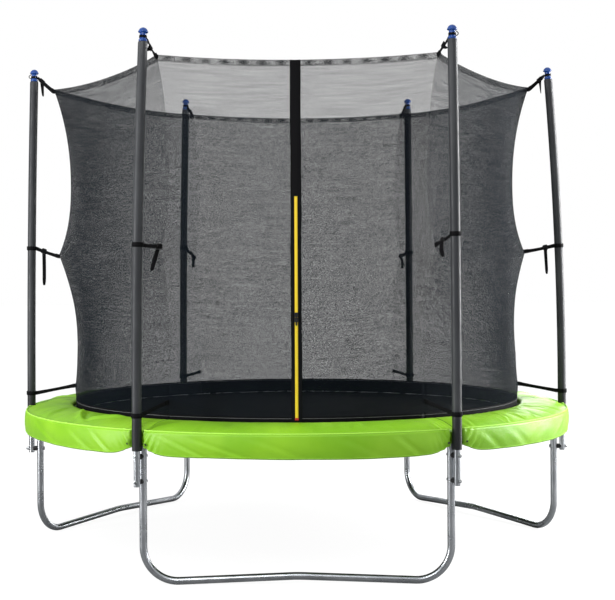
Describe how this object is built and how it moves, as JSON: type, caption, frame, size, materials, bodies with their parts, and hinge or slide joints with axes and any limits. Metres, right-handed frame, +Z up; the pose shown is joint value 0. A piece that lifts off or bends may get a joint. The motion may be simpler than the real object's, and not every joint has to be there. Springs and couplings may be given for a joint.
{
  "type": "backyard trampoline",
  "caption": "Round backyard trampoline with a padded spring cover, W-shaped leg bases and a net enclosure on bowed, foam-sleeved poles, entered through a zipped door.",
  "frame": {"origin": "on the ground, straight under the centre of the jump mat", "axes": "+Z up, -Y towards the zipped door, +X to the right as seen from in front of the door"},
  "size_m": [2.5394, 2.5, 2.1819],
  "materials": {
    "galvanised_tube": "hot-dip galvanised, semi-bright",
    "zinc_fastener": "bright zinc",
    "spring_steel": "zinc-plated spring wire",
    "sleeve_foam": "dark grey foam with a thin plastic skin",
    "cap_plastic": "blue moulded plastic",
    "black_plastic": "black moulded plastic",
    "net_mesh": "knitted mesh",
    "zip_tape": "yellow zip on black webbing",
    "black_metal": "black coated metal",
    "black_webbing": "woven webbing",
    "mat_fabric": "woven jump mat fabric",
    "pad_vinyl": "lime green coated fabric over foam"
  },
  "bodies": {
    "frame": {"rail_right": "galvanised_tube", "leg_upright_right": "galvanised_tube", "pole_lower_right": "galvanised_tube", "pole_upper_right": "galvanised_tube", "pole_sleeve_right": "sleeve_foam", "pole_cap_right": "cap_plastic", "rail_back_right": "galvanised_tube", "leg_upright_back_right": "galvanised_tube", "pole_lower_back_right": "galvanised_tube", "pole_upper_back_right": "galvanised_tube", "pole_sleeve_back_right": "sleeve_foam", "pole_cap_back_right": "cap_plastic", "rail_back_left": "galvanised_tube", "leg_upright_back_left": "galvanised_tube", "pole_lower_back_left": "galvanised_tube", "pole_upper_back_left": "galvanised_tube", "pole_sleeve_back_left": "sleeve_foam", "pole_cap_back_left": "cap_plastic", "rail_left": "galvanised_tube", "leg_upright_left": "galvanised_tube", "pole_lower_left": "galvanised_tube", "pole_upper_left": "galvanised_tube", "pole_sleeve_left": "sleeve_foam", "pole_cap_left": "cap_plastic", "rail_front_left": "galvanised_tube", "leg_upright_front_left": "galvanised_tube", "pole_lower_front_left": "galvanised_tube", "pole_upper_front_left": "galvanised_tube", "pole_sleeve_front_left": "sleeve_foam", "pole_cap_front_left": "cap_plastic", "rail_front_right": "galvanised_tube", "leg_upright_front_right": "galvanised_tube", "pole_lower_front_right": "galvanised_tube", "pole_upper_front_right": "galvanised_tube", "pole_sleeve_front_right": "sleeve_foam", "pole_cap_front_right": "cap_plastic", "leg_base_front": "galvanised_tube", "leg_base_left": "galvanised_tube", "leg_base_right": "galvanised_tube", "pole_bolts": "zinc_fastener", "pole_nuts": "zinc_fastener", "pole_spacers": "black_plastic", "net_panel_front": "net_mesh", "net_panel_front_right": "net_mesh", "net_panel_back_right": "net_mesh", "net_panel_back": "net_mesh", "net_panel_back_left": "net_mesh", "net_panel_front_left": "net_mesh", "door_zipper": "zip_tape", "straps_top": "black_webbing", "straps_middle": "black_webbing", "straps_bottom": "black_webbing", "springs": "spring_steel", "spring_pad": "pad_vinyl"},
    "mat": {"jump_mat": "mat_fabric", "mat_rings": "zinc_fastener"},
    "upper_slider": {"zip_slider_upper": "black_metal"},
    "upper_pull": {"zip_pull_upper": "black_metal"},
    "lower_slider": {"zip_slider_lower": "black_metal"},
    "lower_pull": {"zip_pull_lower": "black_metal"}
  },
  "joints": [
    {"name": "mat_bounce", "type": "slide", "parent": "frame", "child": "mat", "axis": [0, 0, 1], "range_m": [-0.12, 0], "stiffness_N_per_m": 6000, "springref_m": 0.02, "deforming": ["springs"]},
    {"name": "upper_zip", "type": "slide", "parent": "frame", "child": "upper_slider", "axis": [0, 0.0436, 0.999], "range_m": [0, 0.455]},
    {"name": "lower_zip", "type": "slide", "parent": "frame", "child": "lower_slider", "axis": [0, -0.0436, -0.999], "range_m": [0, 0.365]},
    {"name": "upper_pull_swing", "type": "hinge", "parent": "upper_slider", "child": "upper_pull", "pos_m": [0, -1.01387, 1.05652], "axis": [-1, 0, 0], "range_deg": [0, 150]},
    {"name": "lower_pull_swing", "type": "hinge", "parent": "lower_slider", "child": "lower_pull", "pos_m": [0, -1.01509, 1.02852], "axis": [-1, 0, 0], "range_deg": [0, 150]}
  ]
}
